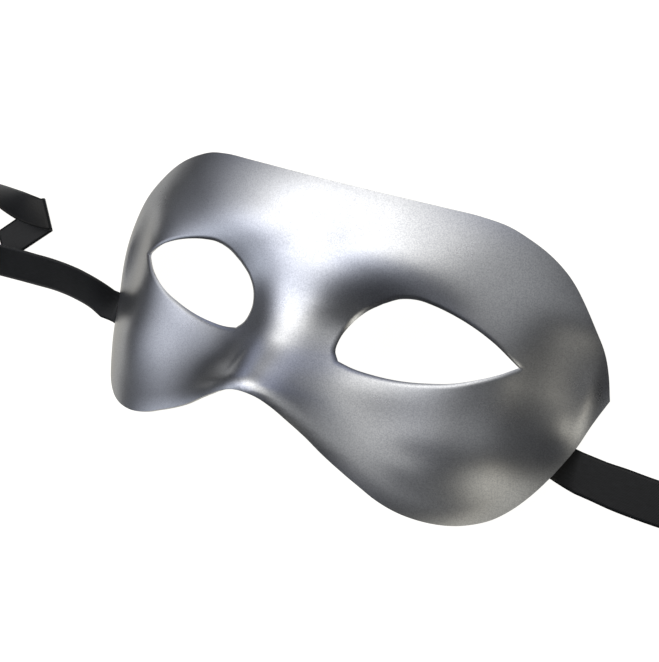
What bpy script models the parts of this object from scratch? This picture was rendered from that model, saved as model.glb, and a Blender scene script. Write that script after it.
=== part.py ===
"""A plain half mask for a masquerade: a thin moulded shell with two eye holes, and a ribbon tie at each side.

It lies face up on the floor. +X is to the viewer's right, +Y to the forehead, +Z up out of the face.
"""

import bpy
import numpy as np

# Driving sizes, in metres and degrees.
HALF_GIRTH = 0.0965  # round the front, from the middle line to the side tip
HALF_HEIGHT = 0.042  # from the eye line up to the brow edge
WALL = 0.0012
SIDE_TURN = 47.5  # how far the wall has turned back at the side tip
TURN_POWER = 1.5  # over 1 keeps the forehead flat and turns the sides
LOW_TURN = 0.27  # how much further back the sides go at the cheeks' lowest edge
BROW_FALL = 0.0086  # how far the brow edge leans back
CHEEK_RISE = 0.0035  # how far the cheeks' lower edge stands forward
NOSE_RISE = 0.0140  # the nose ridge's height at its tip
NOSE_BREADTH = 0.0183  # its half breadth there
RELIEF = 0.0078  # the eye sockets' depth
EDGE_ROLL = 0.0004  # how far the wall rolls in at the cheeks' lower edge
NOSE_ROLL = 0.0016  # how much more it does under the nose
ROLL_REACH = 0.0050
REST_PITCH = 6.0  # how far it leans down at the cheeks, onto its ribbons
RIBBON_WIDTH = 0.0120
RIBBON_THICK = 0.0010
PIECE_GAP = 0.0003
TIE_INSIDE = 0.016  # how much of each ribbon is glued behind the wall

# Mesh counts.
BROW_STEPS = 28
CHEEK_STEPS = 38
MIDDLE_STEPS = 22
RINGS = 12
RIBBON_COLUMNS = 4
RIGHT_STEPS = 8
LEFT_STEPS = 56
FOLD_STEPS = 6

# Edge rows: round, up. Round is a share of HALF_GIRTH, up of HALF_HEIGHT.
BROW_EDGE = [
    (0.000, 0.990),
    (0.190, 0.993),
    (0.340, 0.998),
    (0.480, 1.000),
    (0.550, 0.985),
    (0.622, 0.938),
    (0.695, 0.870),
    (0.767, 0.770),
    (0.840, 0.620),
    (0.896, 0.480),
    (0.943, 0.348),
    (0.977, 0.202),
    (1.000, 0.057),
]
CHEEK_EDGE = [
    (1.000, 0.057),
    (0.964, -0.126),
    (0.933, -0.302),
    (0.907, -0.424),
    (0.882, -0.531),
    (0.835, -0.695),
    (0.797, -0.800),
    (0.750, -0.895),
    (0.705, -0.950),
    (0.664, -0.984),
    (0.617, -1.005),
    (0.570, -1.012),
    (0.498, -1.000),
    (0.430, -0.960),
    (0.383, -0.917),
    (0.330, -0.867),
    (0.251, -0.780),
    (0.197, -0.705),
    (0.140, -0.633),
    (0.093, -0.579),
    (0.046, -0.543),
    (0.000, -0.533),
]
UPPER_LID = [
    (0.264, 0.274),
    (0.316, 0.336),
    (0.373, 0.362),
    (0.425, 0.355),
    (0.487, 0.331),
    (0.560, 0.286),
    (0.627, 0.226),
    (0.711, 0.117),
]
LOWER_LID = [
    (0.711, 0.117),
    (0.657, 0.031),
    (0.604, -0.033),
    (0.539, -0.098),
    (0.466, -0.145),
    (0.394, -0.179),
    (0.306, -0.197),
    (0.233, -0.193),
    (0.190, -0.176),
]
INNER_LID = [
    (0.190, -0.176),
    (0.170, -0.119),
    (0.166, -0.029),
    (0.182, 0.083),
    (0.218, 0.193),
    (0.264, 0.274),
]
# Nose rows: up, rise, breadth. Up is a share of HALF_HEIGHT, rise of NOSE_RISE, breadth of NOSE_BREADTH.
NOSE_ROWS = [
    (-1.00, 0.55, 1.20),
    (-0.60, 1.08, 1.00),
    (-0.30, 0.42, 0.70),
    (0.00, 0.43, 0.58),
    (0.30, 0.07, 1.15),
    (0.60, -0.17, 0.58),
    (0.90, 0.00, 1.20),
]
# Relief rows: round, up, reach round, reach up, rise. The rises are shares of RELIEF.
RELIEF_ROWS = [
    (0.28, 0.10, 0.25, 0.30, -0.95),  # eye socket
    (0.73, 0.55, 0.45, 0.19, 0.27),  # brow bone
    (0.62, 0.55, 0.25, 0.21, -0.35),  # hollow over the brow's outer end
    (0.67, -0.51, 0.33, 0.23, 0.20),  # cheekbone
    (0.41, -0.44, 0.19, 0.28, -0.30),  # hollow under the eye
    (0.81, 0.05, 0.11, 0.43, -0.29),  # temple
    (0.95, -0.03, 0.05, 0.28, 0.11),  # lip of the side tip
    (0.00, -0.06, 0.09, 0.27, -0.13),  # dip of the nose's bridge
    (0.11, -0.31, 0.13, 0.11, 0.04),  # wing of the nose
]

# Tie rows: inside, near, far. Inside is a share of TIE_INSIDE back from the edge; near and far, where the
# ribbon's two edges lie, are shares of HALF_HEIGHT.
TIE_ROWS = [
    (1.00, -0.556, -0.270),
    (0.60, -0.556, -0.270),
    (0.30, -0.548, -0.280),
    (0.12, -0.538, -0.294),
    (0.00, -0.531, -0.302),
]
# Run rows: out, aside, bank, width, slant, lift, for the edge that stays down. Out is measured from the side
# tip. Bank is in degrees, the width is a share of RIBBON_WIDTH, and the rest are in ribbon widths.
RIGHT_RUN = [
    (0.35, -1.82, 0, 0.96, 0.00, 0.00),
    (0.80, -1.86, 0, 1.00, 0.00, 0.00),
    (1.50, -1.88, 0, 1.00, 0.00, 0.00),
    (2.45, -1.87, 0, 1.00, 0.00, 0.00),
]
LEFT_RUN = [
    (0.25, -1.52, 10, 0.90, 0.00, 0.00),
    (0.70, -1.37, 25, 0.96, 0.00, 0.00),
    (1.30, -1.27, 31, 1.00, 0.00, 0.00),
    (2.15, -1.22, 33, 1.00, 0.00, 0.00),
    (2.90, -1.25, 32, 1.00, 0.00, 0.00),
    (3.70, -1.29, 30, 1.00, 0.00, 0.00),
    (4.40, -1.33, 31, 1.00, 0.00, 0.00),
    (5.20, -1.36, 46, 1.00, 0.00, 0.00),
    (6.00, -1.34, 68, 1.00, 0.00, 0.00),
    (6.65, -1.20, 84, 1.00, 0.00, 0.00),
    (7.38, -0.72, 90, 1.00, 0.00, 0.00),
    (7.66, -0.03, 90, 1.00, 0.00, 0.00),
    (7.38, 0.66, 90, 1.00, 0.00, 0.00),
    (6.65, 1.14, 84, 1.00, 0.00, 0.00),
    (6.00, 1.26, 75, 1.00, 0.00, 0.00),
    (5.40, 1.27, 66, 1.00, 0.00, 0.02),
    (4.95, 1.26, 55, 1.00, 0.06, 0.05),
    (4.50, 1.25, 40, 0.97, 0.20, 0.08),
    (4.10, 1.23, 20, 0.90, 0.45, 0.11),
    (3.70, 1.21, 0, 0.79, 0.70, 0.11),
]
FOLD_RADIUS = 0.00065
TAIL = 2.05  # from the fold to the free end, in ribbon widths
ARRIVING = (-0.83, 0.56, 0.0)  # the ribbon's direction as it reaches the fold


def eased(rows, column, at):
    """A table's column read at each place, with no corner where two rows meet."""
    places = np.array([row[0] for row in rows])
    values = np.array([row[column] for row in rows])
    offsets = np.linspace(-0.14, 0.14, 7)
    return sum(np.interp(at + offset, places, values) for offset in offsets) / len(offsets)


def smooth_rows(points, count, flat_start=False, flat_end=False):
    """Rows evenly spaced on a smooth curve through these.

    The first two columns are its path, and a flat end meets its mirror image with no corner.
    """
    along = np.r_[0, np.cumsum(np.linalg.norm(np.diff(points[:, :2], axis=0), axis=1))]
    slopes = np.gradient(points, along, axis=0)
    if flat_start:
        slopes[0] = (np.sign(slopes[0, 0]), 0)
    if flat_end:
        slopes[-1] = (np.sign(slopes[-1, 0]), 0)
    places = np.linspace(0, along[-1], 40 * len(points))
    index = np.clip(np.searchsorted(along, places) - 1, 0, len(points) - 2)
    span = (along[index + 1] - along[index])[:, None]
    t = (places - along[index])[:, None] / span
    fine = (
        (2 * t**3 - 3 * t**2 + 1) * points[index]
        + (t**3 - 2 * t**2 + t) * span * slopes[index]
        + (3 * t**2 - 2 * t**3) * points[index + 1]
        + (t**3 - t**2) * span * slopes[index + 1]
    )
    length = np.r_[0, np.cumsum(np.linalg.norm(np.diff(fine[:, :2], axis=0), axis=1))]
    even = np.linspace(0, length[-1], count + 1)
    return np.column_stack([np.interp(even, length, column) for column in fine.T])


def edge_curve(rows, count, **ends):
    return smooth_rows(np.array(rows, float) * (HALF_GIRTH, HALF_HEIGHT), count, **ends)


cheek_line = edge_curve(CHEEK_EDGE, 2 * CHEEK_STEPS, flat_end=True)


def inside_cheek_edge(girth, height):
    """How far in each place is from the cheeks' lower edge, and below zero beyond it."""
    places = np.stack([np.abs(girth), height + 0 * girth], axis=-1)[..., None, :]
    steps = np.diff(cheek_line, axis=0)
    away = places - cheek_line[:-1]
    share = np.clip((away * steps).sum(axis=-1) / (steps**2).sum(axis=-1), 0, 1)
    gap = np.linalg.norm(away - share[..., None] * steps, axis=-1)
    beyond = steps[:, 0] * away[..., 1] - steps[:, 1] * away[..., 0]
    nearest = gap.argmin(axis=-1)[..., None]
    side = -np.sign(np.take_along_axis(beyond, nearest, axis=-1)[..., 0])
    return side * gap.min(axis=-1)


def front(girth, height):
    """The front face's points, upright, at each girth from the middle line and height from the eye line."""
    steps = HALF_GIRTH * np.linspace(0, 1.4, 281)
    turn = np.radians(SIDE_TURN) * (steps / HALF_GIRTH) ** TURN_POWER
    step = steps[1]
    across = np.r_[0, np.cumsum((np.cos(turn[1:]) + np.cos(turn[:-1])) / 2 * step)]
    behind = np.r_[0, np.cumsum((np.sin(turn[1:]) + np.sin(turn[:-1])) / 2 * step)]
    level = height / HALF_HEIGHT
    up = np.maximum(level, 0)
    down = np.maximum(-level, 0)
    more_turn = LOW_TURN * (np.sqrt(level**2 + 0.04) - level) / 2
    x = np.interp(girth, steps, across)
    z = -np.interp(girth, steps, behind) * (1 + more_turn)
    z = z - BROW_FALL * up**2 + CHEEK_RISE * down**2
    rise = NOSE_RISE * eased(NOSE_ROWS, 1, level)
    breadth = NOSE_BREADTH * eased(NOSE_ROWS, 2, level)
    z = z + rise * np.exp(-((girth / breadth) ** 2))
    for round_, up_, reach_round, reach_up, share in RELIEF_ROWS:
        near = (girth / HALF_GIRTH - round_) / reach_round
        opposite = (girth / HALF_GIRTH + round_) / reach_round
        both_sides = np.exp(-(near**2)) + np.exp(-(opposite**2))
        z = z + RELIEF * share * both_sides * np.exp(-(((level - up_) / reach_up) ** 2))
    roll = EDGE_ROLL * (1 - np.minimum(girth / HALF_GIRTH, 1) ** 6)
    roll = roll + NOSE_ROLL * np.exp(-((girth / NOSE_BREADTH) ** 2))
    z = z - roll * np.maximum(1 - inside_cheek_edge(girth, height) / ROLL_REACH, 0) ** 2
    return np.stack([x, height + 0 * x, z], axis=-1)


def leaned(points):
    """Turns points of the upright face back by the lean that it rests at."""
    lean = np.radians(REST_PITCH)
    x, y, z = points[..., 0], points[..., 1], points[..., 2]
    return np.stack(
        [x, y * np.cos(lean) - z * np.sin(lean), y * np.sin(lean) + z * np.cos(lean)],
        axis=-1,
    )


def behind_wall(girth, height, depth):
    """A point this deep behind the front face, square to it."""
    small = 0.0002
    along = front(girth + small, height) - front(girth - small, height)
    up = front(girth, height + small) - front(girth, height - small)
    square = np.cross(along, up)
    square = square / np.linalg.norm(square, axis=-1, keepdims=True)
    return front(girth, height) - depth * square


tip_height = BROW_EDGE[-1][1] * HALF_HEIGHT
side_tip = leaned(behind_wall(np.array(HALF_GIRTH), np.array(tip_height), WALL))


def laid(points):
    """Points of the upright face where they rest, with the side tips' inner edge on the floor."""
    return leaned(points) - (0, 0, side_tip[2])


def make_material(name, colour, metallic, roughness):
    material = bpy.data.materials.new(name)
    material.use_nodes = True
    surface = material.node_tree.nodes["Principled BSDF"]
    surface.inputs["Base Color"].default_value = (*colour, 1)
    surface.inputs["Metallic"].default_value = metallic
    surface.inputs["Roughness"].default_value = roughness
    return material


def add_object(name, points, faces, material):
    mesh = bpy.data.meshes.new(name)
    mesh.from_pydata([tuple(p) for p in points], [], faces)
    mesh.materials.append(material)
    mesh.shade_smooth()
    mesh.update()
    node = bpy.data.objects.new(name, mesh)
    collection.objects.link(node)
    return node


def add_wall(node, thickness, offset):
    """Gives a surface its thickness. Offset -1 grows it behind the surface, and 0 to both sides."""
    wall = node.modifiers.new("wall", "SOLIDIFY")
    wall.thickness = thickness
    wall.offset = offset
    wall.use_even_offset = True


for old in list(bpy.data.objects):
    bpy.data.objects.remove(old)

collection = bpy.data.collections.new("masquerade_mask")
bpy.context.scene.collection.children.link(collection)
silver = make_material("silver lacquer", (0.33, 0.34, 0.37), 0.9, 0.32)
satin = make_material("black satin", (0.012, 0.013, 0.016), 0.0, 0.55)

# The mask's right half is a grid of rings from the eye hole out to the edge and the middle line.
edge = np.vstack(
    [
        edge_curve(BROW_EDGE, BROW_STEPS, flat_start=True)[:-1],
        edge_curve(CHEEK_EDGE, CHEEK_STEPS, flat_end=True)[:-1],
        edge_curve([CHEEK_EDGE[-1], BROW_EDGE[0]], MIDDLE_STEPS)[:-1],
    ]
)
eye = np.vstack(
    [
        edge_curve(UPPER_LID, BROW_STEPS)[:-1],
        edge_curve(LOWER_LID, CHEEK_STEPS)[:-1],
        edge_curve(INNER_LID, MIDDLE_STEPS)[:-1],
    ]
)
around = len(edge)
shares = np.linspace(0, 1, RINGS + 1)[:, None, None]
grid = (eye + (edge - eye) * shares).reshape(-1, 2)
faces = []
for ring in range(RINGS):
    for step in range(around):
        a = ring * around + step
        b = ring * around + (step + 1) % around
        faces.append((a, b, b + around, a + around))
shell_points = laid(front(grid[:, 0], grid[:, 1]))
shell = add_object("mask_shell", shell_points, faces, silver)
mirror = shell.modifiers.new("other half", "MIRROR")
mirror.use_clip = True
mirror.merge_threshold = 0.00001
add_wall(shell, WALL, -1)


def tie_start(columns, first):
    """A ribbon's rows from its glued end behind the wall down to the floor, short of its run's first row."""
    share = np.linspace(0, 1, columns + 1)
    rim = np.array(CHEEK_EDGE)[:9]
    depth = WALL + PIECE_GAP + RIBBON_THICK / 2
    rows = []
    for inside, near, far in TIE_ROWS:
        level = near + (far - near) * share
        girth = np.interp(-level, -rim[:, 1], rim[:, 0]) * HALF_GIRTH - inside * TIE_INSIDE
        rows.append(laid(behind_wall(girth, level * HALF_HEIGHT, depth)))
    before = laid(behind_wall(girth - 0.0005, level * HALF_HEIGHT, depth))
    slope = np.arctan2(before[:, 2] - rows[-1][:, 2], rows[-1][:, 0] - before[:, 0])
    start = rows[-1]
    radius = (start[:, 2] - RIBBON_THICK / 2) / (1 - np.cos(slope))
    for part in (0.35, 0.7, 1.0):
        left = slope * (1 - part)
        row = start.copy()
        row[:, 0] += radius * (np.sin(slope) - np.sin(left))
        row[:, 2] = RIBBON_THICK / 2 + radius * (1 - np.cos(left))
        way = (row[:, 0] - start[:, 0]) / (first[:, 0] - start[:, 0])
        row[:, 1] += (first[:, 1] - start[:, 1]) * (1 - (1 - way) ** 2)
        rows.append(row)
    return rows


def run_rows(rows, count, columns):
    """A ribbon's rows along its run, each from the edge that stays down to the other one."""
    share = np.linspace(0, 1, columns + 1)[:, None]
    table = smooth_rows(np.array(rows, float), count)
    heading = np.gradient(table[:, :2], axis=0)
    heading = heading / np.linalg.norm(heading, axis=1, keepdims=True)
    found = []
    for (out, aside, bank, width, slant, lift), (ahead, beside) in zip(table, heading):
        tilt = np.radians(bank)
        low = np.array([out, aside, lift]) * RIBBON_WIDTH
        low += (side_tip[0], 0, RIBBON_THICK / 2 * np.cos(tilt))
        across = np.array([-beside * np.cos(tilt), ahead * np.cos(tilt), np.sin(tilt)])
        across = across * width + np.array([ahead, beside, 0]) * slant
        found.append(low + across * RIBBON_WIDTH * share)
    return found


def folded_tail(last, heading, steps):
    """Rows that fold the ribbon under itself along its last row, then lead to its square free end."""
    crease = last[-1] - last[0]
    heading = heading / np.linalg.norm(heading)
    slant = crease @ heading
    crease = crease / np.linalg.norm(crease)
    square = heading - (heading @ crease) * crease
    reach = np.linalg.norm(square)
    square = square / reach
    share = np.linspace(0, 1, len(last))[:, None]
    half_turn = np.pi * FOLD_RADIUS
    first = [half_turn * step / steps / reach for step in range(1, steps + 1)]
    end = TAIL * RIBBON_WIDTH + slant * (0.5 - share)
    further = [first[-1] + (end - first[-1]) * part for part in (0.2, 0.5, 0.8, 1.0)]
    rows = []
    for travel in first + further:
        travel = travel + 0 * share
        past = travel * reach
        turned = np.minimum(past, half_turn) / FOLD_RADIUS
        row = last + crease * (heading @ crease) * travel
        row = row + square * (FOLD_RADIUS * np.sin(turned) - np.maximum(past - half_turn, 0))
        row[:, 2] = last[:, 2] - FOLD_RADIUS * (1 - np.cos(turned[:, 0]))
        rows.append(row)
    return rows


def add_ribbon(name, rows, side):
    """A ribbon from its rows of points. Side -1 turns it over to the viewer's left."""
    columns = len(rows[0])
    points = np.vstack(rows) * (side, 1, 1)
    faces = []
    for row in range(len(rows) - 1):
        for column in range(columns - 1):
            a = row * columns + column
            faces.append((a, a + columns, a + columns + 1, a + 1)[:: int(side)])
    node = add_object(name, points, faces, satin)
    add_wall(node, RIBBON_THICK, 0)
    return node


right_run = run_rows(RIGHT_RUN, RIGHT_STEPS, RIBBON_COLUMNS)
left_run = run_rows(LEFT_RUN, LEFT_STEPS, RIBBON_COLUMNS)
right_start = tie_start(RIBBON_COLUMNS, right_run[0])
left_start = tie_start(RIBBON_COLUMNS, left_run[0])
tail = folded_tail(left_run[-1], np.array(ARRIVING), FOLD_STEPS)
right = add_ribbon("ribbon_right", right_start + right_run, 1)
left = add_ribbon("ribbon_left", left_start + left_run + tail, -1)

# The origin is the middle of the whole object's base, ribbons included.
far_left = min(point.co.x for point in left.data.vertices) - RIBBON_THICK / 2
far_right = max(point.co.x for point in right.data.vertices)
low_side = min(point.co.y for point in shell.data.vertices)
high_side = max(point.co.y for point in shell.data.vertices)
for node in (shell, left, right):
    node.location = (-(far_left + far_right) / 2, -(low_side + high_side) / 2, 0)
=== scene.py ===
"""The look of a masquerade half mask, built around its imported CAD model.

The mask lies face up on a white light table. +X is to the viewer's right, +Y to the forehead, +Z up out of
the face. Lengths are in metres.
"""

import math

import bmesh
import bpy
import numpy as np
from mathutils import Matrix, Vector


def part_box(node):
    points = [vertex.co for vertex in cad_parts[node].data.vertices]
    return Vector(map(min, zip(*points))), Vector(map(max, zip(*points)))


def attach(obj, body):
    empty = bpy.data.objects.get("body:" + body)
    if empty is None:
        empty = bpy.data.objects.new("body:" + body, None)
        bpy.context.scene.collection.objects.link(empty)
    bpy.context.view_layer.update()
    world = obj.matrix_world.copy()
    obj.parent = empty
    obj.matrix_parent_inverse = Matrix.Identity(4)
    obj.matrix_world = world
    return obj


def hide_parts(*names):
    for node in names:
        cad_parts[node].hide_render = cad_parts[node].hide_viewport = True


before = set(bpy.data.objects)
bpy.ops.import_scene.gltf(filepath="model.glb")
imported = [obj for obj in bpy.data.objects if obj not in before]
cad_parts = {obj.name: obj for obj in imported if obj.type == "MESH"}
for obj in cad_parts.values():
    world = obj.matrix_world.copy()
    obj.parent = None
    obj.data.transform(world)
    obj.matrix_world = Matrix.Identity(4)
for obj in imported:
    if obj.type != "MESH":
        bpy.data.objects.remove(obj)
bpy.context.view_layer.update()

# The mask's shell.
# One thin wall of injection moulded plastic, curved round the face, with a nose ridge and two eye holes.
# Its front is sprayed with a satin silver lacquer that wraps over the cut edges, and its back is bare.

HALF_GIRTH = 0.0965
HALF_HEIGHT = 0.042
WALL = 0.0012
SIDE_TURN = 47.5  # degrees that the face has turned back at the side tips
TURN_POWER = 1.5
TURN_REACH = 1.4  # how far round the turn is worked out, as a share of HALF_GIRTH
TURN_STEPS = 280
LOW_TURN = 0.27  # how much more it turns back at the cheeks
LOW_TURN_EASE = 0.04
BROW_FALL = 0.0086  # how far the forehead's edge lies behind the eye line
CHEEK_RISE = 0.0035
NOSE_RISE = 0.0140
NOSE_BREADTH = 0.0183
RELIEF = 0.0078
EDGE_ROLL = 0.0004  # how far the wall rolls in at the cheeks' lower edge
EDGE_ROLL_POWER = 6
NOSE_ROLL = 0.0016  # how much more it does under the nose
ROLL_REACH = 0.0050
EYE_ROLL = 0.0004  # how far the wall rolls in at the eye holes
EYE_REACH = 0.0013
REST_PITCH = 6.0  # degrees that the face leans back at rest
BROW_STEPS = 84
CHEEK_STEPS = 114
MIDDLE_STEPS = 66
RINGS = 44
RING_CROWDING = 0.6  # how much closer the mesh's rings are near the edges
RIM_ROUND = 0.0004  # the cut edges' rounding
RIM_ANGLE = 50
TABLE_EASE = 0.14
TABLE_LOOKS = 7
CURVE_FINENESS = 40
TIED = 1e-9  # edge pieces this nearly as close as the closest count as closest
SLOPE_STEP = 0.0002
SEAM_REACH = 0.000005

# Edge rows: round, up. Round is a share of HALF_GIRTH, up of HALF_HEIGHT.
BROW_EDGE = [
    (0.000, 0.990),
    (0.190, 0.993),
    (0.340, 0.998),
    (0.480, 1.000),
    (0.550, 0.985),
    (0.622, 0.938),
    (0.695, 0.870),
    (0.767, 0.770),
    (0.840, 0.620),
    (0.896, 0.480),
    (0.943, 0.348),
    (0.977, 0.202),
    (1.000, 0.057),
]
CHEEK_EDGE = [
    (1.000, 0.057),
    (0.964, -0.126),
    (0.933, -0.302),
    (0.907, -0.424),
    (0.882, -0.531),
    (0.835, -0.695),
    (0.797, -0.800),
    (0.750, -0.895),
    (0.705, -0.950),
    (0.664, -0.984),
    (0.617, -1.005),
    (0.570, -1.012),
    (0.498, -1.000),
    (0.430, -0.960),
    (0.383, -0.917),
    (0.330, -0.867),
    (0.251, -0.780),
    (0.197, -0.705),
    (0.140, -0.633),
    (0.093, -0.579),
    (0.046, -0.543),
    (0.000, -0.533),
]
UPPER_LID = [
    (0.264, 0.274),
    (0.316, 0.336),
    (0.373, 0.362),
    (0.425, 0.355),
    (0.487, 0.331),
    (0.560, 0.286),
    (0.627, 0.226),
    (0.711, 0.117),
]
LOWER_LID = [
    (0.711, 0.117),
    (0.657, 0.031),
    (0.604, -0.033),
    (0.539, -0.098),
    (0.466, -0.145),
    (0.394, -0.179),
    (0.306, -0.197),
    (0.233, -0.193),
    (0.190, -0.176),
]
INNER_LID = [
    (0.190, -0.176),
    (0.170, -0.119),
    (0.166, -0.029),
    (0.182, 0.083),
    (0.218, 0.193),
    (0.264, 0.274),
]
# Nose rows: up, rise, breadth. Up is a share of HALF_HEIGHT, rise of NOSE_RISE, breadth of NOSE_BREADTH.
NOSE_ROWS = [
    (-1.00, 0.55, 1.20),
    (-0.60, 1.08, 1.00),
    (-0.30, 0.42, 0.70),
    (0.00, 0.43, 0.58),
    (0.30, 0.07, 1.15),
    (0.60, -0.17, 0.58),
    (0.90, 0.00, 1.20),
]
# Relief rows: round, up, reach round, reach up, rise. The rises are shares of RELIEF.
RELIEF_ROWS = [
    (0.28, 0.10, 0.25, 0.30, -0.95),  # eye socket
    (0.73, 0.55, 0.45, 0.19, 0.27),  # brow bone
    (0.62, 0.55, 0.25, 0.21, -0.35),  # hollow over the brow's outer end
    (0.67, -0.51, 0.33, 0.23, 0.20),  # cheekbone
    (0.41, -0.44, 0.19, 0.28, -0.30),  # hollow under the eye
    (0.81, 0.05, 0.11, 0.43, -0.29),  # temple
    (0.95, -0.03, 0.05, 0.28, 0.11),  # lip of the side tip
    (0.00, -0.06, 0.09, 0.27, -0.13),  # dip of the nose's bridge
    (0.11, -0.31, 0.13, 0.11, 0.04),  # wing of the nose
]
# Dent rows: round, up, reach along, reach across, turn, rise. Round is below zero on the viewer's left.
# Lengths are in millimetres, and turn is the dent's direction in degrees.
DENT_ROWS = [
    (49.0, -25.4, 8.0, 3.4, 8.0, -0.16),
    (47.0, -30.5, 7.0, 2.6, -20.0, 0.06),
    (-9.6, -16.0, 5.5, 1.1, 80.0, -0.14),
    (85.0, -11.5, 5.0, 4.0, 60.0, -0.45),
]


def eased(rows, column, at):
    """A table's column read at each place, with no corner where two rows meet."""
    places = np.array([row[0] for row in rows])
    values = np.array([row[column] for row in rows])
    offsets = np.linspace(-TABLE_EASE, TABLE_EASE, TABLE_LOOKS)
    return sum(np.interp(at + offset, places, values) for offset in offsets) / len(offsets)


def smooth_rows(points, count, flat_start=False, flat_end=False):
    """Rows evenly spaced on a smooth curve through these. The first two columns are its path."""
    along = np.r_[0, np.cumsum(np.linalg.norm(np.diff(points[:, :2], axis=0), axis=1))]
    slopes = np.gradient(points, along, axis=0)
    if flat_start:
        slopes[0] = (np.sign(slopes[0, 0]), 0)
    if flat_end:
        slopes[-1] = (np.sign(slopes[-1, 0]), 0)
    places = np.linspace(0, along[-1], CURVE_FINENESS * len(points))
    index = np.clip(np.searchsorted(along, places) - 1, 0, len(points) - 2)
    span = (along[index + 1] - along[index])[:, None]
    t = (places - along[index])[:, None] / span
    fine = (
        (2 * t**3 - 3 * t**2 + 1) * points[index]
        + (t**3 - 2 * t**2 + t) * span * slopes[index]
        + (3 * t**2 - 2 * t**3) * points[index + 1]
        + (t**3 - t**2) * span * slopes[index + 1]
    )
    length = np.r_[0, np.cumsum(np.linalg.norm(np.diff(fine[:, :2], axis=0), axis=1))]
    even = np.linspace(0, length[-1], count + 1)
    return np.column_stack([np.interp(even, length, column) for column in fine.T])


def edge_curve(rows, count, **ends):
    """Points, in metres on the flattened face, along a smooth curve through an edge table's rows."""
    return smooth_rows(np.array(rows, float) * (HALF_GIRTH, HALF_HEIGHT), count, **ends)


outline = np.vstack(
    [
        edge_curve(BROW_EDGE, BROW_STEPS, flat_start=True)[:-1],
        edge_curve(CHEEK_EDGE, CHEEK_STEPS, flat_end=True)[:-1],
        edge_curve([CHEEK_EDGE[-1], BROW_EDGE[0]], MIDDLE_STEPS)[:-1],
    ]
)
eye_hole = np.vstack(
    [
        edge_curve(UPPER_LID, BROW_STEPS)[:-1],
        edge_curve(LOWER_LID, CHEEK_STEPS)[:-1],
        edge_curve(INNER_LID, MIDDLE_STEPS)[:-1],
    ]
)
cheek_line = edge_curve(CHEEK_EDGE, CHEEK_STEPS, flat_end=True)
eye_line = np.vstack([eye_hole[:1], eye_hole[::-1]])


def inside_edge(line, girth, height):
    """How far in each place is from an edge line with the wall on its right, below zero beyond it."""
    places = np.stack([np.abs(girth), height + 0 * girth], axis=-1)[..., None, :]
    steps = np.diff(line, axis=0)
    away = places - line[:-1]
    share = np.clip((away * steps).sum(axis=-1) / (steps**2).sum(axis=-1), 0, 1)
    gap = np.linalg.norm(away - share[..., None] * steps, axis=-1)
    shortest = gap.min(axis=-1)
    on_right = steps[:, 1] * away[..., 0] - steps[:, 0] * away[..., 1] > 0
    nearest = gap < shortest[..., None] + TIED
    return np.where((on_right & nearest).any(axis=-1), shortest, -shortest)


def front(girth, height):
    """The front face's points, upright, at each girth from the middle line and height from the eye line."""
    steps = HALF_GIRTH * np.linspace(0, TURN_REACH, TURN_STEPS + 1)
    turn = np.radians(SIDE_TURN) * (steps / HALF_GIRTH) ** TURN_POWER
    step = steps[1]
    across = np.r_[0, np.cumsum((np.cos(turn[1:]) + np.cos(turn[:-1])) / 2 * step)]
    behind = np.r_[0, np.cumsum((np.sin(turn[1:]) + np.sin(turn[:-1])) / 2 * step)]
    side = np.sign(girth)
    reach = np.abs(girth)
    level = height / HALF_HEIGHT
    up = np.maximum(level, 0)
    down = np.maximum(-level, 0)
    more_turn = LOW_TURN * (np.sqrt(level**2 + LOW_TURN_EASE) - level) / 2
    x = side * np.interp(reach, steps, across)
    z = -np.interp(reach, steps, behind) * (1 + more_turn)
    z = z - BROW_FALL * up**2 + CHEEK_RISE * down**2
    rise = NOSE_RISE * eased(NOSE_ROWS, 1, level)
    breadth = NOSE_BREADTH * eased(NOSE_ROWS, 2, level)
    z = z + rise * np.exp(-((girth / breadth) ** 2))
    for round_, up_, reach_round, reach_up, share in RELIEF_ROWS:
        near = (reach / HALF_GIRTH - round_) / reach_round
        opposite = (reach / HALF_GIRTH + round_) / reach_round
        both_sides = np.exp(-(near**2)) + np.exp(-(opposite**2))
        z = z + RELIEF * share * both_sides * np.exp(-(((level - up_) / reach_up) ** 2))
    roll = EDGE_ROLL * (1 - np.minimum(reach / HALF_GIRTH, 1) ** EDGE_ROLL_POWER)
    roll = roll + NOSE_ROLL * np.exp(-((girth / NOSE_BREADTH) ** 2))
    z = z - roll * np.maximum(1 - inside_edge(cheek_line, girth, height) / ROLL_REACH, 0) ** 2
    z = z - EYE_ROLL * np.maximum(1 - inside_edge(eye_line, girth, height) / EYE_REACH, 0) ** 2
    for round_, up_, along_, across_, turned, rise in DENT_ROWS:
        right = girth * 1000 - round_
        above = height * 1000 - up_
        aim = math.radians(turned)
        a = (right * math.cos(aim) + above * math.sin(aim)) / along_
        b = (above * math.cos(aim) - right * math.sin(aim)) / across_
        z = z + rise / 1000 * np.exp(-(a**2) - b**2)
    return np.stack([x, height + 0 * x, z], axis=-1)


def leaned(points):
    """Turns points of the upright face back by the lean that it rests at."""
    lean = np.radians(REST_PITCH)
    x, y, z = points[..., 0], points[..., 1], points[..., 2]
    return np.stack(
        [x, y * np.cos(lean) - z * np.sin(lean), y * np.sin(lean) + z * np.cos(lean)],
        axis=-1,
    )


def behind_wall(girth, height, depth):
    """Points this deep behind the front face, square to it."""
    along = front(girth + SLOPE_STEP, height) - front(girth - SLOPE_STEP, height)
    up = front(girth, height + SLOPE_STEP) - front(girth, height - SLOPE_STEP)
    square = np.cross(along, up)
    square = square / np.linalg.norm(square, axis=-1, keepdims=True)
    return front(girth, height) - depth * square


tip_height = BROW_EDGE[-1][1] * HALF_HEIGHT
side_tip = leaned(behind_wall(np.array(HALF_GIRTH), np.array(tip_height), WALL))

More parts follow.
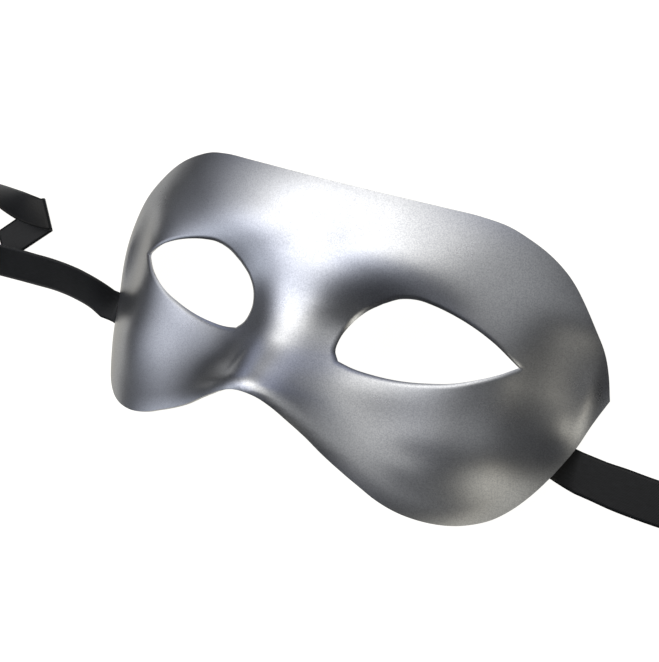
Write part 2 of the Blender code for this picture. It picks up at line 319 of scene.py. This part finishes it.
around = len(outline)
even_shares = np.linspace(0, 1, RINGS + 1)[:, None, None]
ring_shares = even_shares - RING_CROWDING * np.sin(2 * np.pi * even_shares) / (2 * np.pi)
plan = (eye_hole + (outline - eye_hole) * ring_shares).reshape(-1, 2)
shell_low, shell_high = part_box("mask_shell")
rows_in_y = leaned(front(plan[:, 0], plan[:, 1]))[:, 1]
lying_place = np.array(
    [
        (shell_low.x + shell_high.x) / 2,
        -(rows_in_y.min() + rows_in_y.max()) / 2,
        -side_tip[2],
    ]
)


def laid(points):
    """Points of the upright face where they rest, with the side tips' inner edge on the floor."""
    return leaned(points) + lying_place


shell_bm = bmesh.new()
for side in (1, -1):
    girth = plan[:, 0] * side
    height = plan[:, 1]
    outer = [shell_bm.verts.new(p) for p in laid(front(girth, height))]
    inner = [shell_bm.verts.new(p) for p in laid(behind_wall(girth, height, WALL))]
    last = RINGS * around
    for step in range(around):
        a = step
        b = (step + 1) % around
        walls = [(outer[b], outer[a], inner[a], inner[b], 0)]
        if step < BROW_STEPS + CHEEK_STEPS:
            walls.append((outer[last + a], outer[last + b], inner[last + b], inner[last + a], 0))
        for ring in range(RINGS):
            c = ring * around + a
            d = ring * around + b
            walls.append((outer[c], outer[d], outer[d + around], outer[c + around], 0))
            walls.append((inner[c + around], inner[d + around], inner[d], inner[c], 1))
        for *corners, finish in walls:
            face = shell_bm.faces.new(corners[::side])
            face.material_index = finish
            face.smooth = True
bmesh.ops.remove_doubles(shell_bm, verts=shell_bm.verts, dist=SEAM_REACH)
shell_mesh = bpy.data.meshes.new("lacquered_shell")
shell_bm.to_mesh(shell_mesh)
shell_bm.free()
shell = bpy.data.objects.new("lacquered_shell", shell_mesh)
bpy.context.scene.collection.objects.link(shell)
rim = shell.modifiers.new("rounded rims", "BEVEL")
rim.width = RIM_ROUND
rim.segments = 3
rim.limit_method = "ANGLE"
rim.angle_limit = math.radians(RIM_ANGLE)
rim.harden_normals = True


def linear(colour):
    """The linear colour of an sRGB hex value."""
    shares = [int(colour[i : i + 2], 16) / 255 for i in (1, 3, 5)]
    return tuple(c / 12.92 if c <= 0.04045 else ((c + 0.055) / 1.055) ** 2.4 for c in shares) + (1,)


def add_node(tree, kind, settings=None, values=None, links=None):
    """Adds a node, sets its properties and its inputs, and links outputs of others to its inputs."""
    node = tree.nodes.new(kind)
    for name, value in (settings or {}).items():
        setattr(node, name, value)
    for name, value in (values or {}).items():
        node.inputs[name].default_value = value
    for name, source in (links or {}).items():
        tree.links.new(source, node.inputs[name])
    return node


def two_tones(tree, source, low_at, low, high_at, high):
    """A colour that runs from one sRGB hex value to another as the source goes from low_at to high_at."""
    ramp = add_node(tree, "ShaderNodeValToRGB", links={"Fac": source.outputs["Fac"]})
    first, second = ramp.color_ramp.elements
    first.position = low_at
    first.color = linear(low)
    second.position = high_at
    second.color = linear(high)
    return ramp.outputs["Color"]


def new_material(name):
    """A material with its node tree, Principled shader and object coordinates."""
    material = bpy.data.materials.new(name)
    material.use_nodes = True
    tree = material.node_tree
    surface = tree.nodes["Principled BSDF"]
    place = tree.nodes.new("ShaderNodeTexCoord")
    return material, tree, surface, place


# Silver lacquer: fine aluminium flake in a satin lacquer, sprayed on ABS. It mirrors the lights softly, and
# the flake and the spray's orange peel break the reflections up a little.
lacquer, tree, surface, place = new_material("satin_silver_lacquer")
surface.inputs["Metallic"].default_value = 1.0
surface.inputs["Specular Tint"].default_value = linear("#d4d1c9")
flake = add_node(
    tree,
    "ShaderNodeTexNoise",
    values={"Scale": 2600.0, "Detail": 1.0, "Roughness": 0.6},
    links={"Vector": place.outputs["Object"]},
)
flake_colour = two_tones(tree, flake, 0.30, "#8f9299", 0.70, "#a5a8af")
tree.links.new(flake_colour, surface.inputs["Base Color"])
cloudy = add_node(
    tree,
    "ShaderNodeTexNoise",
    values={"Scale": 55.0, "Detail": 3.0},
    links={"Vector": place.outputs["Object"]},
)
sheen_spread = add_node(
    tree,
    "ShaderNodeMapRange",
    values={"From Min": 0.3, "From Max": 0.7, "To Min": 0.27, "To Max": 0.31},
    links={"Value": cloudy.outputs["Fac"]},
)
tree.links.new(sheen_spread.outputs["Result"], surface.inputs["Roughness"])
peel = add_node(
    tree,
    "ShaderNodeTexNoise",
    values={"Scale": 700.0, "Detail": 2.0},
    links={"Vector": place.outputs["Object"]},
)
peel_bump = add_node(
    tree,
    "ShaderNodeBump",
    values={"Strength": 0.25, "Distance": 0.00002},
    links={"Height": peel.outputs["Fac"]},
)
tree.links.new(peel_bump.outputs["Normal"], surface.inputs["Normal"])

# Bare ABS: a dull grey with faint mottling and the mould's fine matt texture.
bare, tree, surface, place = new_material("bare_moulded_abs")
mottle = add_node(
    tree,
    "ShaderNodeTexNoise",
    values={"Scale": 120.0, "Detail": 4.0},
    links={"Vector": place.outputs["Object"]},
)
mottle_colour = two_tones(tree, mottle, 0.35, "#8f9092", 0.65, "#9b9c9e")
tree.links.new(mottle_colour, surface.inputs["Base Color"])
surface.inputs["Roughness"].default_value = 0.48
surface.inputs["IOR"].default_value = 1.53
grain = add_node(
    tree,
    "ShaderNodeTexNoise",
    values={"Scale": 1500.0, "Detail": 2.0},
    links={"Vector": place.outputs["Object"]},
)
grain_bump = add_node(
    tree,
    "ShaderNodeBump",
    values={"Strength": 0.5, "Distance": 0.00004},
    links={"Height": grain.outputs["Fac"]},
)
tree.links.new(grain_bump.outputs["Normal"], surface.inputs["Normal"])

shell_mesh.materials.append(lacquer)
shell_mesh.materials.append(bare)


def finished(piece):
    """Turns a piece's live modifiers into a plain mesh."""
    graph = bpy.context.evaluated_depsgraph_get()
    mesh = bpy.data.meshes.new_from_object(piece.evaluated_get(graph))
    piece.modifiers.clear()
    piece.data = mesh


finished(shell)
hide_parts("mask_shell")
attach(shell, "root")

# The ribbon ties.
# Two lengths of black polyester satin ribbon, 12 mm wide, each glued flat behind one side of the mask. They
# lie on the table, and the viewer's left one turns back in a loop and folds under itself.

RIBBON_WIDTH = 0.0120
RIBBON_CLOTH = 0.0005
GLUE_GAP = 0.0002  # between the wall and the ribbon's glued end
TIE_INSIDE = 0.016  # the glued end's length inside the side edge
TIE_STEPS = 18
TIE_EDGE_ROWS = 9
LEAVING_STEP = 0.0005
RIBBON_COLUMNS = 12
RIGHT_STEPS = 40
LEFT_STEPS = 240
FOLD_STEPS = 14
FOLD_RADIUS = 0.00066
TAIL = 2.05  # length from the fold to the free end, in ribbon widths
TAIL_STEPS = 20
ARRIVING = (-0.83, 0.56, 0.0)  # the ribbon's direction as it comes to the fold

# How much of its slope the ribbon has lost at each row, as it curves down from the edge to the floor.
LANDING = (0.12, 0.24, 0.36, 0.48, 0.6, 0.7, 0.8, 0.9, 1.0)

# Tie rows: inside, near, far. Inside is a share of TIE_INSIDE back from the edge; near and far, where the
# ribbon's two edges lie, are shares of HALF_HEIGHT.
TIE_ROWS = [
    (1.00, -0.556, -0.270),
    (0.60, -0.556, -0.270),
    (0.30, -0.548, -0.280),
    (0.12, -0.538, -0.294),
    (0.00, -0.531, -0.302),
]
# Run rows: out, aside, bank, width, slant, lift, for the edge that stays down. Out is measured from the
# side tip. Bank is in degrees, the width is a share of RIBBON_WIDTH, and the rest are in ribbon widths.
RIGHT_RUN = [
    (0.35, -1.82, 0, 0.96, 0.00, 0.00),
    (0.80, -1.86, 0, 1.00, 0.00, 0.00),
    (1.50, -1.88, 0, 1.00, 0.00, 0.00),
    (2.45, -1.87, 0, 1.00, 0.00, 0.00),
]
LEFT_RUN = [
    (0.25, -1.52, 10, 0.90, 0.00, 0.00),
    (0.70, -1.37, 25, 0.96, 0.00, 0.00),
    (1.30, -1.27, 31, 1.00, 0.00, 0.00),
    (2.15, -1.22, 33, 1.00, 0.00, 0.00),
    (2.90, -1.25, 32, 1.00, 0.00, 0.00),
    (3.70, -1.29, 30, 1.00, 0.00, 0.00),
    (4.40, -1.33, 31, 1.00, 0.00, 0.00),
    (5.20, -1.36, 46, 1.00, 0.00, 0.00),
    (6.00, -1.34, 68, 1.00, 0.00, 0.00),
    (6.65, -1.20, 84, 1.00, 0.00, 0.00),
    (7.38, -0.72, 90, 1.00, 0.00, 0.00),
    (7.66, -0.03, 90, 1.00, 0.00, 0.00),
    (7.38, 0.66, 90, 1.00, 0.00, 0.00),
    (6.65, 1.14, 84, 1.00, 0.00, 0.00),
    (6.00, 1.26, 75, 1.00, 0.00, 0.00),
    (5.40, 1.27, 66, 1.00, 0.00, 0.02),
    (4.95, 1.26, 55, 1.00, 0.06, 0.05),
    (4.50, 1.25, 40, 0.97, 0.20, 0.08),
    (4.10, 1.23, 20, 0.90, 0.45, 0.11),
    (3.70, 1.21, 0, 0.79, 0.70, 0.11),
]


def plain_laid(girth, height, depth):
    """Points behind the wall on the viewer's left, which has no dent there, turned over to the right."""
    points = leaned(behind_wall(-girth, height, depth)) + lying_place * (0, 1, 1)
    return points * (-1, 1, 1)


def tie_start(columns, first):
    """A ribbon's rows from its glued end behind the wall down to the table, short of its run's first row."""
    share = np.linspace(0, 1, columns + 1)
    rim_line = np.array(CHEEK_EDGE)[:TIE_EDGE_ROWS]
    depth = WALL + GLUE_GAP + RIBBON_CLOTH / 2
    table = np.array(TIE_ROWS)
    found = []
    for inside in np.linspace(1, 0, TIE_STEPS + 1):
        near = np.interp(-inside, -table[:, 0], table[:, 1])
        far = np.interp(-inside, -table[:, 0], table[:, 2])
        level = near + (far - near) * share
        girth = np.interp(-level, -rim_line[:, 1], rim_line[:, 0]) * HALF_GIRTH
        girth = girth - inside * TIE_INSIDE
        found.append(plain_laid(girth, level * HALF_HEIGHT, depth))
    before = plain_laid(girth - LEAVING_STEP, level * HALF_HEIGHT, depth)
    slope = np.arctan2(before[:, 2] - found[-1][:, 2], found[-1][:, 0] - before[:, 0])
    start = found[-1]
    radius = (start[:, 2] - RIBBON_CLOTH / 2) / (1 - np.cos(slope))
    for part in LANDING:
        left = slope * (1 - part)
        row = start.copy()
        row[:, 0] += radius * (np.sin(slope) - np.sin(left))
        row[:, 2] = RIBBON_CLOTH / 2 + radius * (1 - np.cos(left))
        way = (row[:, 0] - start[:, 0]) / (first[:, 0] - start[:, 0])
        row[:, 1] += (first[:, 1] - start[:, 1]) * (1 - (1 - way) ** 2)
        found.append(row)
    return found


def run_rows(rows, count, columns):
    """A ribbon's rows along its run, each from the edge that stays down to the other one."""
    share = np.linspace(0, 1, columns + 1)[:, None]
    table = smooth_rows(np.array(rows, float), count)
    heading = np.gradient(table[:, :2], axis=0)
    heading = heading / np.linalg.norm(heading, axis=1, keepdims=True)
    found = []
    for (out, aside, bank, width, slant, lift), (ahead, beside) in zip(table, heading):
        tilt = math.radians(bank)
        low = np.array([out, aside, lift]) * RIBBON_WIDTH
        low += (side_tip[0], lying_place[1], RIBBON_CLOTH / 2 * math.cos(tilt))
        across = np.array([-beside * math.cos(tilt), ahead * math.cos(tilt), math.sin(tilt)])
        across = across * width + np.array([ahead, beside, 0]) * slant
        found.append(low + across * RIBBON_WIDTH * share)
    return found


def folded_tail(last, heading, steps):
    """Rows that fold the ribbon under itself along its last row, then lead to its square free end."""
    crease = last[-1] - last[0]
    heading = heading / np.linalg.norm(heading)
    slant = crease @ heading
    crease = crease / np.linalg.norm(crease)
    square = heading - (heading @ crease) * crease
    reach = np.linalg.norm(square)
    square = square / reach
    share = np.linspace(0, 1, len(last))[:, None]
    half_turn = np.pi * FOLD_RADIUS
    first = [half_turn * step / steps / reach for step in range(1, steps + 1)]
    end = TAIL * RIBBON_WIDTH + slant * (0.5 - share)
    further = [first[-1] + (end - first[-1]) * part for part in np.linspace(1 / TAIL_STEPS, 1, TAIL_STEPS)]
    found = []
    for travel in first + further:
        travel = travel + 0 * share
        past = travel * reach
        turned = np.minimum(past, half_turn) / FOLD_RADIUS
        row = last + crease * (heading @ crease) * travel
        row = row + square * (FOLD_RADIUS * np.sin(turned) - np.maximum(past - half_turn, 0))
        row[:, 2] = last[:, 2] - FOLD_RADIUS * (1 - np.cos(turned[:, 0]))
        found.append(row)
    return found


# Satin: filament polyester woven so that long warp floats cover the face. It is near black with a broad, low
# sheen. The weave is drawn about twice as coarse as the real one, so that it shows.
satin, tree, surface, place = new_material("black_polyester_satin")
thread_place = add_node(
    tree,
    "ShaderNodeMapping",
    values={"Scale": (4.0, 0.35, 1.0)},
    links={"Vector": place.outputs["UV"]},
)
threads = add_node(
    tree,
    "ShaderNodeTexNoise",
    values={"Scale": 1.0, "Detail": 3.0, "Roughness": 0.6},
    links={"Vector": thread_place.outputs["Vector"]},
)
thread_colour = two_tones(tree, threads, 0.35, "#0b0c0e", 0.70, "#17191c")
tree.links.new(thread_colour, surface.inputs["Base Color"])
surface.inputs["Roughness"].default_value = 0.46
surface.inputs["Specular IOR Level"].default_value = 0.15
surface.inputs["Sheen Weight"].default_value = 0.08
surface.inputs["Sheen Roughness"].default_value = 0.4
surface.inputs["Sheen Tint"].default_value = linear("#b9bfce")
weft = add_node(
    tree,
    "ShaderNodeTexWave",
    settings={"wave_type": "BANDS", "bands_direction": "Y", "wave_profile": "SIN"},
    values={"Scale": 0.5, "Distortion": 0.6, "Detail": 1.0},
    links={"Vector": place.outputs["UV"]},
)
thread_bump = add_node(
    tree,
    "ShaderNodeBump",
    values={"Strength": 0.5, "Distance": 0.00005},
    links={"Height": threads.outputs["Fac"]},
)
weft_bump = add_node(
    tree,
    "ShaderNodeBump",
    values={"Strength": 0.35, "Distance": 0.00004},
    links={"Height": weft.outputs["Fac"], "Normal": thread_bump.outputs["Normal"]},
)
tree.links.new(weft_bump.outputs["Normal"], surface.inputs["Normal"])


def add_ribbon(name, rows, side):
    """A ribbon from its rows of points. Its UV map holds millimetres across and along the cloth."""
    points = np.array(rows) * (side, 1, 1) + (lying_place[0], 0, 0)
    count, wide, _ = points.shape
    along = np.zeros((count, wide))
    along[1:] = np.cumsum(np.linalg.norm(np.diff(points, axis=0), axis=2), axis=0)
    across = np.tile(np.linspace(0, RIBBON_WIDTH, wide), (count, 1))
    faces = []
    for row in range(count - 1):
        for column in range(wide - 1):
            a = row * wide + column
            faces.append((a, a + wide, a + wide + 1, a + 1)[:: int(side)])
    mesh = bpy.data.meshes.new(name)
    mesh.from_pydata(points.reshape(-1, 3).tolist(), [], faces)
    mesh.shade_smooth()
    cloth_map = mesh.uv_layers.new(name="cloth")
    flat_place = np.stack([across, along], axis=-1).reshape(-1, 2) * 1000
    for loop in mesh.loops:
        cloth_map.data[loop.index].uv = flat_place[loop.vertex_index]
    mesh.materials.append(satin)
    ribbon = bpy.data.objects.new(name, mesh)
    bpy.context.scene.collection.objects.link(ribbon)
    wall = ribbon.modifiers.new("cloth", "SOLIDIFY")
    wall.thickness = RIBBON_CLOTH
    wall.offset = 0
    finished(ribbon)
    length = float(np.linalg.norm(np.diff(points.mean(axis=1), axis=0), axis=1).sum())
    return ribbon, length


right_rows = run_rows(RIGHT_RUN, RIGHT_STEPS, RIBBON_COLUMNS)
right_rows = tie_start(RIBBON_COLUMNS, right_rows[0]) + right_rows
left_rows = run_rows(LEFT_RUN, LEFT_STEPS, RIBBON_COLUMNS)
left_rows = tie_start(RIBBON_COLUMNS, left_rows[0]) + left_rows
left_rows += folded_tail(left_rows[-1], np.array(ARRIVING), FOLD_STEPS)
for name, node, rows, side in (
    ("satin_ribbon_right", "ribbon_right", right_rows, 1),
    ("satin_ribbon_left", "ribbon_left", left_rows, -1),
):
    ribbon, length = add_ribbon(name, rows, side)
    print(name, "is", round(length, 4), "m long")
    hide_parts(node)
    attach(ribbon, "root")

# The floor.
# A round white light table, let into a grey floor. Its own glow takes nearly all the shadow away, and gives
# the shell's low sides their pale reflections.

FLOOR_REACH = 3
FLOOR_LEVEL = -0.00005
GLOW_INNER = 0.175
GLOW_OUTER = 0.235
GLOW_STRENGTH = 0.97

floor_mesh = bpy.data.meshes.new("floor")
corners = [
    (x * FLOOR_REACH, y * FLOOR_REACH, FLOOR_LEVEL) for x, y in ((-1, -1), (1, -1), (1, 1), (-1, 1))
]
floor_mesh.from_pydata(corners, [], [(0, 1, 2, 3)])
floor = bpy.data.objects.new("floor", floor_mesh)
bpy.context.scene.collection.objects.link(floor)
# Matt floor: the light table's matt acrylic glows evenly and fades out at its round border into matt grey.
pale, tree, surface, place = new_material("pale_matt_floor")
surface.inputs["Base Color"].default_value = linear("#7d7d7b")
surface.inputs["Roughness"].default_value = 0.9
surface.inputs["Specular IOR Level"].default_value = 0.1
surface.inputs["Emission Color"].default_value = (1.0, 0.99, 0.965, 1)
from_middle = add_node(
    tree,
    "ShaderNodeVectorMath",
    settings={"operation": "LENGTH"},
    links={0: place.outputs["Object"]},
)
table_glow = add_node(
    tree,
    "ShaderNodeMapRange",
    settings={"interpolation_type": "SMOOTHSTEP"},
    values={"From Min": GLOW_INNER, "From Max": GLOW_OUTER, "To Min": GLOW_STRENGTH, "To Max": 0.0},
    links={"Value": from_middle.outputs["Value"]},
)
tree.links.new(table_glow.outputs["Result"], surface.inputs["Emission Strength"])
floor_mesh.materials.append(pale)

# The light.
# A dim studio with a few broad softboxes, given as soft glowing patches of the surroundings.

# Patch rows: name, azimuth, elevation, tightness, strength, colour. Azimuth turns from +X towards +Y, and
# both angles are in degrees. A patch fades out as the cosine of the angle to the power of its tightness.
LIGHT_ROWS = [
    ("forehead softbox", 137, 53, 19, 3.5, "#fffaee"),
    ("nose softbox", 179, 51, 14, 2.7, "#f7f8ff"),
    ("brow strip", 102, 69, 35, 1.5, "#fffaee"),
    ("far window", 92, 38, 19, 0.95, "#e6eaff"),
    ("low far window", 138, 12, 50, 1.0, "#dde4ff"),
    ("overhead panel", 39, 62, 15, 0.7, "#fffdf6"),
    ("warm card", 310, 39, 55, 2.5, "#fff8e4"),
    ("low warm card", 322, 23, 33, 2.3, "#fff9e7"),
    ("small warm card", 337, 40, 150, 1.0, "#fff3d8"),
    ("left wall", 203, 25, 47, 1.5, "#f3f7ff"),
    ("ceiling", 0, 90, 0.5, 0.06, "#eef1ff"),
]
world = bpy.data.worlds.new("studio")
bpy.context.scene.world = world
world.use_nodes = True
tree = world.node_tree
background = tree.nodes["Background"]
towards = tree.nodes.new("ShaderNodeTexCoord").outputs["Generated"]
glow = None
for name, azimuth, elevation, tightness, strength, colour in LIGHT_ROWS:
    level = math.cos(math.radians(elevation))
    middle = (
        level * math.cos(math.radians(azimuth)),
        level * math.sin(math.radians(azimuth)),
        math.sin(math.radians(elevation)),
    )
    facing = add_node(
        tree,
        "ShaderNodeVectorMath",
        settings={"operation": "DOT_PRODUCT", "label": name},
        values={1: middle},
        links={0: towards},
    )
    in_front = add_node(
        tree,
        "ShaderNodeMath",
        settings={"operation": "MAXIMUM"},
        values={1: 0.0},
        links={0: facing.outputs["Value"]},
    )
    faded = add_node(
        tree,
        "ShaderNodeMath",
        settings={"operation": "POWER"},
        values={1: tightness},
        links={0: in_front.outputs["Value"]},
    )
    added = add_node(
        tree,
        "ShaderNodeVectorMath",
        settings={"operation": "MULTIPLY_ADD"},
        values={1: [strength * share for share in linear(colour)[:3]]},
        links={0: faded.outputs["Value"]},
    )
    if glow:
        tree.links.new(glow, added.inputs[2])
    glow = added.outputs["Vector"]
tree.links.new(glow, background.inputs["Color"])
bpy.context.scene.view_settings.view_transform = "Standard"

# The camera.
# It looks down on the mask from its right-hand side, as the photograph does.

CAMERA_DISTANCE = 0.3906

camera = bpy.data.cameras.new("camera")
camera.sensor_width = 36.0
camera.lens = 73.11
camera.clip_start = 0.01
camera_object = bpy.data.objects.new("camera", camera)
bpy.context.scene.collection.objects.link(camera_object)
aim = Vector((0.03995, -0.00032, 0.0200))
back = Vector((0.50574, -0.01193, 0.86260)).normalized()
upwards = Vector((-0.26124, 0.95084, 0.16631))
rightwards = upwards.cross(back).normalized()
upwards = back.cross(rightwards)
turn = Matrix((rightwards, upwards, back)).transposed()
camera_object.matrix_world = Matrix.Translation(aim + CAMERA_DISTANCE * back) @ turn.to_4x4()
bpy.context.scene.camera = camera_object

bpy.context.view_layer.update()
